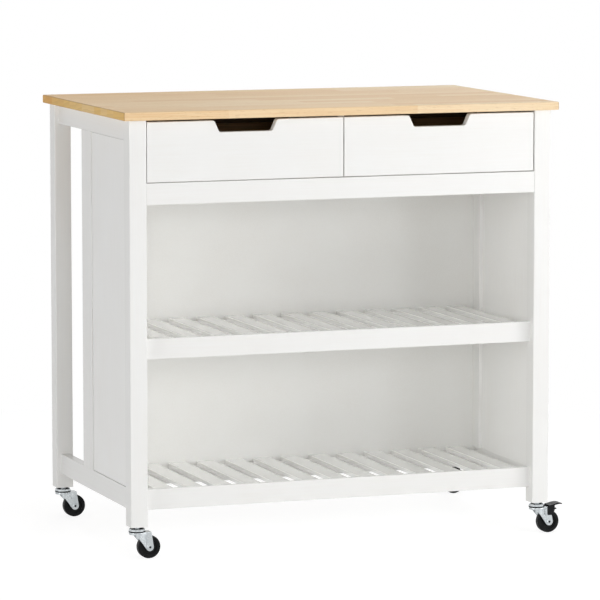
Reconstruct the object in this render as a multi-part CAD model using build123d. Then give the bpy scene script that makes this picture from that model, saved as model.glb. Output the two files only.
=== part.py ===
from build123d import *
import os

# Kitchen island cart: wooden worktop on a painted frame with two drawers,
# two slatted shelves, open knee space behind, and four swivel casters.
# Millimetres, +X to the right, +Y to the back, +Z up from the floor.

# Worktop
overall_height = 957.0
worktop_length = 996.0
worktop_depth = 608.0
worktop_thickness = 18.0
worktop_edge_round = 2.5
side_overhang = 15.0
front_overhang = 11.0
rear_overhang = 5.0

# Legs
leg_side = 38.0
leg_edge_round = 2.0
leg_bottom_z = 70.0

# Side frames: rails, middle stile and panel, measured inward from the leg's outer face
rail_height = 45.0
rail_edge_round = 0.8
side_rail_inset = 10.0
side_rail_thickness = 20.0
side_bottom_rail_z = 102.0
stile_lap = 38.0
stile_width = 70.0
panel_recess = 1.5
panel_seam_width = 1.6
panel_seam_depth = 2.5
panel_tongue_thickness = 8.0
panel_tongue_length = 8.0

# Cross rails, back panel and drawer divider, measured back from the leg's front face
cross_rail_thickness = 18.0
front_rail_height = 46.0
front_rail_setback = 1.0
back_panel_thickness = 5.0
back_panel_bottom_z = 110.0
back_panel_head_room = 2.0
back_panel_groove_depth = 8.0
divider_thickness = 15.0

# Tenons and grooves
tenon_length = 12.0
tenon_face_shoulder = 4.0
tenon_edge_shoulder = 10.0
joint_clearance = 0.1

# Slatted shelves
shelf_tops_z = {"mid": 472.0, "bottom": 148.0}
shelf_rail_height = 44.0
shelf_rail_setback = 18.0
slat_count = 13
slat_width = 41.0
slat_thickness = 8.0
slat_edge_round = 1.5
slat_rebate_width = 9.0

# Drawers
drawer_front_height = 128.0
drawer_front_thickness = 18.0
drawer_front_edge_round = 1.5
drawer_top_gap = 4.0
drawer_rail_gap = 1.8
left_drawer_leg_gap = 1.5
right_drawer_leg_gap = 3.0
drawer_centre_gap = 2.5
pull_top_width = 142.0
pull_bottom_width = 120.0
pull_depth = 25.0
pull_corner_round = 7.0
drawer_side_thickness = 12.0
drawer_side_rise = 7.0
drawer_side_drop = 31.0
drawer_box_length = 300.0
drawer_back_room = 30.0
drawer_bottom_thickness = 4.0
drawer_bottom_rise = 9.0
drawer_groove_depth = 6.0

# Steel drawer slides: an outer channel on the cabinet, an inner one on the drawer
slide_room = 12.7
slide_gauge = 1.2
slide_height = 35.0
slide_outer_depth = 9.5
slide_lip_height = 4.3
slide_running_gap = 0.3
slide_inner_depth = 9.7
slide_inner_stop = 15.0
slide_front = 22.0
slide_centre_rise = 26.0

# Worktop brackets
bracket_leg = 20.0
bracket_width = 24.0
bracket_gauge = 2.0
bracket_from_front = 110.0
bracket_from_back = 90.0
bracket_from_side = 260.0

# Casters, in a frame with the swivel axis at the origin and the floor at z = 0
wheel_radius = 25.0
wheel_width = 16.0
wheel_edge_round = 2.5
wheel_hub_radius = 8.0
wheel_hub_width = 18.0
wheel_rim_depth = 8.0
wheel_recess = 2.5
caster_trail = 25.5
running_fit = 0.05
axle_radius = 3.0
axle_head_radius = 5.5
axle_head_thickness = 1.2
axle_head_round = 0.6
axle_dimple_radius = 1.5
fork_gauge = 2.0
fork_inner_width = 19.0
fork_bend_x = 16.0
fork_bend_round = 4.0
fork_crown_round = 1.4
fork_top_z = 58.0
fork_boss_radius = 8.5
fork_web_front = -9.0
fork_arm_length = 29.0
fork_rib_radius = 6.0
fork_rib_height = 0.6
fork_rib_top_x = 21.4
fork_rib_top_z = 49.5
swivel_disc_radius = 17.5
swivel_disc_height = 5.0
swivel_gap = 0.3
race_height = 7.0
race_edge_round = 0.8
race_rim_width = 2.4
race_dish_depth = 4.5
kingpin_radius = 4.0
kingpin_head_radius = 7.0
kingpin_head_height = 2.0
collar_radius = 6.5
stem_length = 35.0
insert_wall = 2.0
insert_length = 25.0
insert_flange_radius = 9.0
insert_flange_thickness = 1.5

# Brake pedal on the two right-hand casters
brake_pivot_x = 25.5
brake_pivot_z = 53.0
brake_pin_radius = 1.5
brake_pin_end = 0.4
brake_side_gap = 0.3
brake_shoe_lift = 1.0
brake_wing_thickness = 2.0
brake_wing_front = 21.5
brake_wing_back = 33.5
brake_wing_bottom_z = 40.0
brake_wing_top_z = 59.5
brake_wing_round = 1.5
brake_bridge_front = 31.5
brake_bridge_back = 37.5
brake_bridge_top_z = 62.0
pedal_heel_x = 25.0
pedal_heel_z = 58.9
pedal_waist_x = 36.0
pedal_waist_z = 60.9
pedal_crest_x = 50.0
pedal_crest_z = 63.0
pedal_reach = 58.0
pedal_tip_z = 61.9
pedal_tip_thickness = 1.7
pedal_tip_width = 20.0
pedal_tip_round = 3.0
pedal_thickness = 3.2
release_tab_reach = 46.0
release_tab_width = 12.0
release_tab_thickness = 2.5
release_tab_round = 2.5

# Planes worked out from the sizes above
frame_top_z = overall_height - worktop_thickness
leg_outer_x = worktop_length / 2 - side_overhang
leg_inner_x = leg_outer_x - leg_side
leg_front_y = front_overhang - worktop_depth / 2
leg_rear_y = worktop_depth / 2 - rear_overhang
back_panel_front = drawer_front_thickness + drawer_box_length + drawer_back_room
stile_front = back_panel_front - stile_lap
stile_back = stile_front + stile_width
panel_inner = side_rail_inset + side_rail_thickness
drawer_front_top_z = frame_top_z - drawer_top_gap
drawer_front_bottom_z = drawer_front_top_z - drawer_front_height
drawer_side_z = (drawer_front_bottom_z + drawer_side_rise, drawer_front_top_z - drawer_side_drop)
front_rail_top_z = drawer_front_bottom_z - drawer_rail_gap
front_rail_bottom_z = front_rail_top_z - front_rail_height
side_rail_levels_z = {"top": frame_top_z - rail_height, "bottom": side_bottom_rail_z}
slat_gap = (2 * leg_inner_x - slat_count * slat_width) / (slat_count + 1)
slat_pitch = slat_width + slat_gap
swivel_x = leg_outer_x - leg_side / 2
swivel_y = {"front": leg_front_y + leg_side / 2, "rear": leg_rear_y - leg_side / 2}

# The pedals reach past the worktop on the right, so the whole cart is moved
# until the middle of its outline stands over the origin.
pedal_overhang = swivel_x + pedal_reach - worktop_length / 2
to_origin = Pos(-pedal_overhang / 2, 0, 0)

sides = {"left": -1, "right": 1}
ends = ("front", "rear")


def inward(side, near, far):
    """Span along X between two distances measured inward from a leg's outer face."""
    return tuple(sorted((side * (leg_outer_x - near), side * (leg_outer_x - far))))


def backward(near, far):
    """Span along Y between two distances measured back from the legs' front face."""
    return (leg_front_y + near, leg_front_y + far)


def block(spans, grow=0.0):
    """Square-edged board that fills an X, a Y and a Z span, grown on every face."""
    size = [high - low + 2 * grow for low, high in spans]
    middle = [(low + high) / 2 for low, high in spans]
    return Pos(*middle) * Box(*size)


def board(spans, axis, edge_round):
    """Board whose long edges, those along the axis, are rounded."""
    body = block(spans)
    return fillet(body.edges().filter_by(axis), edge_round)


def shrunk(span, margin):
    """Span with the margin taken off both of its ends."""
    return (span[0] + margin, span[1] - margin)


def prism_along_y(sketch, y_span):
    """Solid from a sketch drawn in X and Z, filling a Y span."""
    low, high = y_span
    return extrude(Plane.XZ.offset(-high) * sketch, amount=high - low)


def outline(points):
    """Flat face inside a closed line through the points."""
    return make_face(Polyline(*points, close=True))


def group(solids):
    """Separate solids that share one node."""
    return Compound(children=list(solids))


# Joinery: each tenon is a set of spans, used by the rail that carries it
# and, with the clearance, by the piece that it is let into.
def x_tenon(side, root, y_span, z_span):
    """Tenon along X that enters a side piece from its inner face at the given depth."""
    return (
        inward(side, root - tenon_length, root),
        shrunk(y_span, tenon_face_shoulder),
        shrunk(z_span, tenon_edge_shoulder),
    )


def side_rail_x(side):
    return inward(side, side_rail_inset, panel_inner)


def side_rail_tenons(side, level):
    """Front and rear tenons of a side rail, along Y into the two legs."""
    low = side_rail_levels_z[level]
    x_span = shrunk(side_rail_x(side), tenon_face_shoulder)
    z_span = shrunk((low, low + rail_height), tenon_edge_shoulder)
    front = leg_front_y + leg_side
    rear = leg_rear_y - leg_side
    return {
        "front": (x_span, (front - tenon_length, front), z_span),
        "rear": (x_span, (rear, rear + tenon_length), z_span),
    }


def stile_z():
    return (side_rail_levels_z["bottom"] + rail_height, side_rail_levels_z["top"])


def stile_tenons(side):
    """Upper and lower tenons of the stile, along Z into the side rails."""
    low, high = stile_z()
    x_span = shrunk(side_rail_x(side), tenon_face_shoulder)
    y_span = shrunk(backward(stile_front, stile_back), tenon_edge_shoulder)
    return {
        "top": (x_span, y_span, (high, high + tenon_length)),
        "bottom": (x_span, y_span, (low - tenon_length, low)),
    }


def panel_tongue(side):
    """Tongue round the side panel, let into the leg, the stile and both rails."""
    low, high = stile_z()
    near = side_rail_inset + panel_recess + panel_seam_depth
    reach = panel_tongue_length
    return (
        inward(side, near, near + panel_tongue_thickness),
        backward(leg_side - reach, stile_front + reach),
        (low - reach, high + reach),
    )


# Cross rails run along X: each has its Y span, its Z span and the depth of the
# inner face that it meets, measured inward from the legs' outer faces.
rear_rail_y = backward(back_panel_front - cross_rail_thickness, back_panel_front)
shelf_front_y = backward(shelf_rail_setback, shelf_rail_setback + cross_rail_thickness)
front_rail_y = backward(front_rail_setback, front_rail_setback + cross_rail_thickness)
rear_top_rail_y = (
    leg_rear_y - side_rail_inset - cross_rail_thickness,
    leg_rear_y - side_rail_inset,
)


def shelf_rail_z(shelf, seat=0.0):
    """Height span of a shelf rail, whose top may lie lower to seat the slats."""
    top = shelf_tops_z[shelf]
    return (top - shelf_rail_height, top - seat)


cross_rails = {
    "front_rail": (front_rail_y, (front_rail_bottom_z, front_rail_top_z), leg_side),
    "drawer_rear_rail": (rear_rail_y, (front_rail_bottom_z, front_rail_top_z), leg_side),
    "rear_top_rail": (rear_top_rail_y, (frame_top_z - rail_height, frame_top_z), leg_side),
    "mid_shelf_front_rail": (shelf_front_y, shelf_rail_z("mid"), leg_side),
    "mid_shelf_rear_rail": (rear_rail_y, shelf_rail_z("mid", slat_thickness), leg_side),
    "bottom_shelf_front_rail": (shelf_front_y, shelf_rail_z("bottom"), leg_side),
    "bottom_shelf_rear_rail": (
        rear_rail_y,
        shelf_rail_z("bottom", slat_thickness),
        panel_inner,
    ),
}
rails_into_leg = {
    "front": ("front_rail", "mid_shelf_front_rail", "bottom_shelf_front_rail"),
    "rear": ("rear_top_rail",),
}
rails_into_stile = ("drawer_rear_rail", "mid_shelf_rear_rail")


def cross_rail_tenon(name, side):
    y_span, z_span, root = cross_rails[name]
    return x_tenon(side, root, y_span, z_span)


def mortise(spans):
    return block(spans, joint_clearance)


def worktop():
    body = block(
        (
            (-worktop_length / 2, worktop_length / 2),
            (-worktop_depth / 2, worktop_depth / 2),
            (frame_top_z, overall_height),
        )
    )
    return fillet(body.edges(), worktop_edge_round)


def leg(side, end):
    """Square leg with mortises for its rails and a bore for the caster's insert."""
    if end == "front":
        y_span = backward(0, leg_side)
    else:
        y_span = (leg_rear_y - leg_side, leg_rear_y)
    spans = (inward(side, 0, leg_side), y_span, (leg_bottom_z, frame_top_z))
    body = board(spans, Axis.Z, leg_edge_round)
    for level in side_rail_levels_z:
        body -= mortise(side_rail_tenons(side, level)[end])
    for name in rails_into_leg[end]:
        body -= mortise(cross_rail_tenon(name, side))
    if end == "front":
        body -= mortise(panel_tongue(side))
    bore = Cylinder(
        kingpin_radius + insert_wall + joint_clearance,
        stem_length + joint_clearance,
        align=(Align.CENTER, Align.CENTER, Align.MIN),
    )
    return body - Pos(side * swivel_x, swivel_y[end], leg_bottom_z) * bore


def side_rail(side, level):
    """Rail between the front and rear legs, grooved for the panel and the stile."""
    low = side_rail_levels_z[level]
    y_span = (leg_front_y + leg_side, leg_rear_y - leg_side)
    spans = (side_rail_x(side), y_span, (low, low + rail_height))
    body = board(spans, Axis.Y, rail_edge_round)
    for tenon in side_rail_tenons(side, level).values():
        body += block(tenon)
    body -= mortise(stile_tenons(side)[level])
    body -= mortise(panel_tongue(side))
    if level == "bottom":
        body -= mortise(cross_rail_tenon("bottom_shelf_rear_rail", side))
    return body


def stile(side):
    """Upright between the side rails that holds the side panel and the back panel."""
    y_span = backward(stile_front, stile_back)
    spans = (inward(side, side_rail_inset, leg_side), y_span, stile_z())
    body = board(spans, Axis.Z, rail_edge_round)
    for tenon in stile_tenons(side).values():
        body += block(tenon)
    body -= mortise(panel_tongue(side))
    for name in rails_into_stile:
        body -= mortise(cross_rail_tenon(name, side))
    groove = (
        inward(side, leg_side - back_panel_groove_depth, leg_side),
        backward(back_panel_front, back_panel_front + back_panel_thickness),
        stile_z(),
    )
    return body - block(groove, joint_clearance)


def side_panel(side):
    """Panel level with the rails on the inside, with a fine seam round its outer face."""
    face = side_rail_inset + panel_recess
    seam_floor = face + panel_seam_depth
    y_span = backward(leg_side, stile_front)
    core = (inward(side, seam_floor, panel_inner), y_span, stile_z())
    outer_face = (
        inward(side, face, seam_floor),
        shrunk(y_span, panel_seam_width),
        shrunk(stile_z(), panel_seam_width),
    )
    return block(core) + block(panel_tongue(side)) + block(outer_face)


def back_panel():
    half = leg_inner_x + back_panel_groove_depth - joint_clearance
    return block(
        (
            (-half, half),
            backward(back_panel_front, back_panel_front + back_panel_thickness),
            (back_panel_bottom_z, frame_top_z - back_panel_head_room),
        )
    )


def cross_rail(name):
    """Rail along X with a tenon at each end."""
    y_span, z_span, root = cross_rails[name]
    half = leg_outer_x - root
    body = board(((-half, half), y_span, z_span), Axis.X, rail_edge_round)
    for side in sides.values():
        body += block(cross_rail_tenon(name, side))
    return body


def slat_rebate(shelf):
    """Step along the back of a shelf's front rail in which the slats lie."""
    back = shelf_front_y[1]
    top = shelf_tops_z[shelf]
    half = (slat_count - 1) / 2 * slat_pitch + slat_width / 2 + joint_clearance
    return block(
        (
            (-half, half),
            (back - slat_rebate_width - joint_clearance, back + slat_rebate_width),
            (top - slat_thickness, top + slat_thickness),
        )
    )


def shelf_slats(shelf):
    """Row of flat slats from the front rail's rebate over the rear rail."""
    top = shelf_tops_z[shelf]
    y_span = (shelf_front_y[1] - slat_rebate_width, rear_rail_y[1] - joint_clearance)
    slats = []
    for index in range(slat_count):
        middle = (index - (slat_count - 1) / 2) * slat_pitch
        x_span = (middle - slat_width / 2, middle + slat_width / 2)
        slat = block((x_span, y_span, (top - slat_thickness, top)))
        upper = slat.edges().filter_by(Axis.Y).group_by(Axis.Z)[-1]
        slats.append(chamfer(upper, slat_edge_round))
    return group(slats)


divider_y = (front_rail_y[1], rear_rail_y[0])


def drawer_divider():
    """Upright between the drawers, standing between the two rails under the worktop."""
    half = divider_thickness / 2
    return block(((-half, half), divider_y, (front_rail_bottom_z, frame_top_z)))


# Drawers, each between a leg and the divider
def drawer_walls(side):
    """Cabinet faces on both sides of a drawer: the leg's inner face and the divider."""
    return {"outer": side * leg_inner_x, "inner": side * divider_thickness / 2}


slide_z = drawer_side_z[0] + slide_centre_rise


def slide_channel(wall, toward, start, depth, half_height, web_at_far_side):
    """Channel section in X and Z, open to one side, with its web at one end of its depth."""
    near, far = start, start + depth
    web, mouth = (far, near) if web_at_far_side else (near, far)
    step = slide_gauge if mouth > web else -slide_gauge
    inner = half_height - slide_gauge
    corners = (
        (web, -half_height),
        (mouth, -half_height),
        (mouth, -inner),
        (web + step, -inner),
        (web + step, inner),
        (mouth, inner),
        (mouth, half_height),
        (web, half_height),
    )
    return outline([(wall + toward * u, slide_z + v) for u, v in corners])


def slide_y(length):
    return (leg_front_y + slide_front, leg_front_y + slide_front + length)


def cabinet_slide(wall, toward):
    """Outer slide channel with two lips turned in over its mouth."""
    half = slide_height / 2
    section = slide_channel(wall, toward, 0, slide_outer_depth, half, False)
    body = prism_along_y(section, slide_y(drawer_box_length))
    lip_x = sorted(
        wall + toward * u for u in (slide_outer_depth - slide_gauge, slide_outer_depth)
    )
    for up in (-1, 1):
        lip_z = sorted(slide_z + up * v for v in (half - slide_lip_height, half))
        body += block((tuple(lip_x), slide_y(drawer_box_length), tuple(lip_z)))
    return body


def drawer_slide(wall, toward):
    """Inner slide channel, screwed to the drawer's side and running between the lips."""
    half = slide_height / 2 - slide_lip_height - slide_running_gap
    start = slide_room - slide_inner_depth
    section = slide_channel(wall, toward, start, slide_inner_depth, half, True)
    return prism_along_y(section, slide_y(drawer_box_length - slide_inner_stop))


def slide_pair(side, maker):
    walls = drawer_walls(side)
    return [maker(walls["outer"], -side), maker(walls["inner"], side)]


def drawer_front_x(side):
    """Width of a drawer's front, which leaves a wider gap at the right leg than at the left."""
    leg_gap = right_drawer_leg_gap if side > 0 else left_drawer_leg_gap
    return tuple(sorted((side * drawer_centre_gap / 2, side * (leg_inner_x - leg_gap))))


def drawer_box_x(side):
    """Outside width of a drawer's box, between its two slides."""
    walls = drawer_walls(side)
    return tuple(
        sorted((walls["outer"] - side * slide_room, walls["inner"] + side * slide_room))
    )


drawer_side_y = backward(
    drawer_front_thickness, drawer_front_thickness + drawer_box_length
)
drawer_bottom_low = drawer_side_z[0] + drawer_bottom_rise
drawer_bottom_z = (drawer_bottom_low, drawer_bottom_low + drawer_bottom_thickness)


def drawer_bottom_spans(side):
    """Bottom board, let into grooves in the front, the sides and the back."""
    margin = drawer_side_thickness - drawer_groove_depth
    y_span = (
        drawer_side_y[0] - drawer_groove_depth,
        drawer_side_y[1] - margin,
    )
    return (shrunk(drawer_box_x(side), margin), y_span, drawer_bottom_z)


def drawer_front(side):
    """Front board with a sloped finger cut-out in its top edge."""
    low, high = drawer_front_x(side)
    middle = (low + high) / 2
    face = outline(
        (
            (low, drawer_front_bottom_z),
            (high, drawer_front_bottom_z),
            (high, drawer_front_top_z),
            (middle + pull_top_width / 2, drawer_front_top_z),
            (middle + pull_bottom_width / 2, drawer_front_top_z - pull_depth),
            (middle - pull_bottom_width / 2, drawer_front_top_z - pull_depth),
            (middle - pull_top_width / 2, drawer_front_top_z),
            (low, drawer_front_top_z),
        )
    )
    in_pull = [
        corner
        for corner in face.vertices()
        if abs(corner.X - middle) < pull_top_width / 2 + pull_corner_round
    ]
    face = fillet(in_pull, pull_corner_round)
    body = prism_along_y(face, backward(0, drawer_front_thickness))
    body = fillet(body.faces().sort_by(Axis.Y)[0].edges(), drawer_front_edge_round)
    return body - mortise(drawer_bottom_spans(side))


def drawer_side_board(side, edge):
    """Side board of a drawer, grooved for the bottom."""
    low, high = drawer_box_x(side)
    if edge == "left":
        x_span = (low, low + drawer_side_thickness)
    else:
        x_span = (high - drawer_side_thickness, high)
    body = block((x_span, drawer_side_y, drawer_side_z))
    return body - mortise(drawer_bottom_spans(side))


def drawer_back(side):
    """Back board between the drawer's sides."""
    x_span = shrunk(drawer_box_x(side), drawer_side_thickness)
    y_span = (drawer_side_y[1] - drawer_side_thickness, drawer_side_y[1])
    body = block((x_span, y_span, drawer_side_z))
    return body - mortise(drawer_bottom_spans(side))


def worktop_bracket(corner, out_x, out_y):
    """Steel angle in the corner between a rail and the worktop, drawn from that corner."""
    x, y = corner
    half = bracket_width / 2

    def spans(reach, height):
        if out_x:
            x_span = tuple(sorted((x, x + out_x * reach)))
            y_span = (y - half, y + half)
        else:
            x_span = (x - half, x + half)
            y_span = tuple(sorted((y, y + out_y * reach)))
        return (x_span, y_span, (frame_top_z - height, frame_top_z))

    return block(spans(bracket_leg, bracket_gauge)) + block(spans(bracket_gauge, bracket_leg))


def worktop_brackets():
    """Two angles on each side rail and two on the rear rail."""
    inner_x = leg_outer_x - panel_inner
    brackets = []
    for side in sides.values():
        for y in (leg_front_y + bracket_from_front, leg_rear_y - bracket_from_back):
            brackets.append(worktop_bracket((side * inner_x, y), -side, 0))
        rear = (side * bracket_from_side, rear_top_rail_y[0])
        brackets.append(worktop_bracket(rear, 0, -1))
    return group(brackets)


# Casters, drawn round the swivel axis with the wheel trailing toward +X
fork_outer_width = fork_inner_width + 2 * fork_gauge
crown_bottom_z = fork_top_z - fork_gauge
race_bottom_z = fork_top_z + swivel_gap
axle_place = Pos(caster_trail, 0, wheel_radius)
wing_inner_y = fork_outer_width / 2 + fork_rib_height + brake_side_gap
brake_wing_y = (wing_inner_y, wing_inner_y + brake_wing_thickness)


def spin(points, axis=Axis.Z):
    """Solid of revolution from radius and height points."""
    return revolve(Plane.XZ * outline(points), axis=axis)


def along_y(body):
    """Turn a solid made round Z so that its axis lies along Y."""
    return Rot(90, 0, 0) * body


def caster_insert():
    """Flanged sleeve driven into the leg's lower end."""
    bore = kingpin_radius + joint_clearance
    wall = kingpin_radius + insert_wall
    low = leg_bottom_z - insert_flange_thickness
    high = leg_bottom_z + insert_length
    return spin(
        (
            (bore, low),
            (insert_flange_radius, low),
            (insert_flange_radius, leg_bottom_z),
            (wall, leg_bottom_z),
            (wall, high),
            (bore, high),
        )
    )


def caster_stem():
    """Kingpin with its lower head, the dished upper race and the stem in the leg."""
    head_top = crown_bottom_z - swivel_gap
    rim = race_bottom_z + race_height
    dish = rim - race_dish_depth
    edge = swivel_disc_radius - race_edge_round
    dish_radius = swivel_disc_radius - race_rim_width
    collar_top = leg_bottom_z - insert_flange_thickness
    return spin(
        (
            (0, head_top - kingpin_head_height),
            (kingpin_head_radius, head_top - kingpin_head_height),
            (kingpin_head_radius, head_top),
            (kingpin_radius, head_top),
            (kingpin_radius, race_bottom_z),
            (edge, race_bottom_z),
            (swivel_disc_radius, race_bottom_z + race_edge_round),
            (swivel_disc_radius, rim - race_edge_round),
            (edge, rim),
            (dish_radius, rim),
            (dish_radius, dish),
            (collar_radius, dish),
            (collar_radius, collar_top),
            (kingpin_radius, collar_top),
            (kingpin_radius, leg_bottom_z + stem_length),
            (0, leg_bottom_z + stem_length),
        )
    )


def fork_plan(disc_radius, arm_width):
    """Outline from above: the round swivel disc run out into a straight-sided arm."""
    arm_back = caster_trail + fork_boss_radius
    arm = Pos((fork_bend_x + arm_back) / 2, 0) * Rectangle(arm_back - fork_bend_x, arm_width)
    neck = arm.edges().sort_by(Axis.X)[0]
    plan = make_hull(Circle(disc_radius).edges() + [neck]) + arm
    bends = [corner for corner in plan.vertices() if abs(corner.X - fork_bend_x) < running_fit]
    return fillet(bends, fork_bend_round)


def fork_side_view():
    """Outline from the side: the disc's skirt and a web run down to the round axle boss."""
    boss = Pos(caster_trail, wheel_radius) * Circle(fork_boss_radius)
    shoulder = outline(
        (
            (fork_web_front, crown_bottom_z),
            (fork_web_front, fork_top_z),
            (fork_arm_length, fork_top_z),
            (fork_arm_length, crown_bottom_z),
        )
    )
    skirt = outline(
        (
            (-swivel_disc_radius, fork_top_z - swivel_disc_height),
            (0, fork_top_z - swivel_disc_height),
            (0, fork_top_z),
            (-swivel_disc_radius, fork_top_z),
        )
    )
    return make_hull(boss.edges() + shoulder.edges()) + skirt


def fork_rib():
    """Outline of the long rib pressed into each cheek, from the axle to the crown."""
    foot = Pos(caster_trail, wheel_radius) * Circle(fork_rib_radius)
    head = Pos(fork_rib_top_x, fork_rib_top_z) * Circle(fork_rib_radius)
    return make_hull(foot.edges() + head.edges())


def caster_fork(braked):
    """Pressed fork: a round crown drawn down into two ribbed cheeks."""
    foot_z = wheel_radius - fork_boss_radius
    plan = Pos(0, 0, foot_z) * fork_plan(swivel_disc_radius, fork_outer_width)
    body = extrude(plan, amount=fork_top_z - foot_z)
    body = fillet(body.faces().sort_by(Axis.Z)[-1].edges(), fork_crown_round)
    inner_plan = fork_plan(swivel_disc_radius - fork_gauge, fork_inner_width)
    body -= extrude(Pos(0, 0, foot_z) * inner_plan, amount=crown_bottom_z - foot_z)
    body &= prism_along_y(fork_side_view(), (-swivel_disc_radius, swivel_disc_radius))
    for side in sides.values():
        face = side * fork_outer_width / 2
        rib_y = sorted((face - side * fork_gauge, face + side * fork_rib_height))
        body += prism_along_y(fork_rib(), rib_y)
    body -= Pos(0, 0, fork_top_z) * Cylinder(kingpin_radius + running_fit, 2 * swivel_disc_height)
    axle_hole = along_y(Cylinder(axle_radius + joint_clearance, 2 * fork_outer_width))
    body -= axle_place * axle_hole
    if braked:
        pin_hole = along_y(Cylinder(brake_pin_radius + joint_clearance, 2 * fork_outer_width))
        body -= Pos(brake_pivot_x, 0, brake_pivot_z) * pin_hole
    return body


def caster_axle():
    """Rivet with a rounded, dimpled head outside each cheek."""
    half = fork_outer_width / 2 + fork_rib_height
    tip = half + axle_head_thickness
    pin = spin(
        (
            (0, 0),
            (axle_radius, 0),
            (axle_radius, half),
            (axle_head_radius, half),
            (axle_head_radius, tip - axle_head_round),
            (axle_head_radius - axle_head_round, tip),
            (axle_dimple_radius, tip),
            (0, half),
        )
    )
    pin += mirror(pin, about=Plane.XY)
    return axle_place * along_y(pin)


def caster_wheel():
    """Moulded wheel with a rounded tread, a recessed web and a hub."""
    half = wheel_width / 2
    hub = wheel_hub_width / 2
    web = half - wheel_recess
    rim = wheel_radius - wheel_rim_depth
    bore = axle_radius + running_fit
    section = outline(
        (
            (bore, -hub),
            (wheel_hub_radius, -hub),
            (wheel_hub_radius, -web),
            (rim, -web),
            (rim, -half),
            (wheel_radius, -half),
            (wheel_radius, half),
            (rim, half),
            (rim, web),
            (wheel_hub_radius, web),
            (wheel_hub_radius, hub),
            (bore, hub),
        )
    )
    section = fillet(section.vertices().group_by(Axis.X)[-1], wheel_edge_round)
    return axle_place * along_y(revolve(Plane.XZ * section, axis=Axis.Z))


def brake_pin():
    """Plain pin through both cheeks that carries the brake pedal on its ends."""
    length = 2 * (brake_wing_y[1] - brake_pin_end)
    return Pos(brake_pivot_x, 0, brake_pivot_z) * along_y(Cylinder(brake_pin_radius, length))


def pedal_plan():
    """Outline of the pedal's blade from above, narrowing to a rounded tip."""
    half = brake_wing_y[1]
    tip = pedal_tip_width / 2
    plan = outline(
        (
            (pedal_heel_x, -half),
            (brake_bridge_back, -half),
            (pedal_reach, -tip),
            (pedal_reach, tip),
            (brake_bridge_back, half),
            (pedal_heel_x, half),
        )
    )
    return fillet(plan.vertices().group_by(Axis.X)[-1], pedal_tip_round)


def pedal_blade():
    """Thin crowned plate that runs from above the fork's back to the tip."""
    outer = brake_wing_y[1]
    under = (
        (pedal_heel_x, pedal_heel_z),
        (pedal_waist_x, pedal_waist_z),
        (pedal_crest_x, pedal_crest_z),
        (pedal_reach, pedal_tip_z),
    )
    rise = (pedal_thickness, pedal_thickness, pedal_thickness, pedal_tip_thickness)
    top = [(x, z + step) for (x, z), step in zip(under, rise)]
    ends_of_plate = [Line(top[0], under[0]), Line(top[-1], under[-1])]
    side_view = make_face([Spline(top), Spline(under), *ends_of_plate])
    plate = prism_along_y(side_view, (-outer, outer))
    return plate & extrude(pedal_plan(), amount=2 * pedal_crest_z)


def release_tab(low_z):
    """Short tongue behind the bridge that the foot lifts to free the brake."""
    half = release_tab_width / 2
    plan = outline(
        (
            (brake_bridge_front, -half),
            (release_tab_reach, -half),
            (release_tab_reach, half),
            (brake_bridge_front, half),
        )
    )
    plan = fillet(plan.vertices().group_by(Axis.X)[-1], release_tab_round)
    return Pos(0, 0, low_z) * extrude(plan, amount=release_tab_thickness)


def brake_pedal():
    """Moulded saddle: a wing outside each cheek, a bridge behind the fork, a blade and a tab."""
    inner, outer = brake_wing_y
    shoe_z = 2 * wheel_radius + brake_shoe_lift
    wing = outline(
        (
            (brake_wing_front, brake_wing_bottom_z),
            (brake_wing_back, brake_wing_bottom_z),
            (brake_bridge_back, shoe_z),
            (brake_bridge_back, brake_bridge_top_z),
            (brake_bridge_front, brake_bridge_top_z),
            (brake_wing_front, brake_wing_top_z),
        )
    )
    wing = fillet(wing.vertices(), brake_wing_round)
    body = prism_along_y(wing, (-outer, outer))
    low_z = brake_wing_bottom_z - fork_gauge
    fork_room_x = (brake_wing_front - fork_gauge, brake_bridge_front)
    body -= block((fork_room_x, (-inner, inner), (low_z, 2 * pedal_crest_z)))
    wheel_room_x = (brake_wing_front - fork_gauge, pedal_reach)
    body -= block((wheel_room_x, (-inner, inner), (low_z, shoe_z)))
    body += pedal_blade()
    body += release_tab(shoe_z)
    hole = along_y(Cylinder(brake_pin_radius + running_fit, 4 * outer))
    return body - Pos(brake_pivot_x, 0, brake_pivot_z) * hole


def at_leg(side, end):
    return Pos(side * swivel_x, swivel_y[end], 0)


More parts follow.
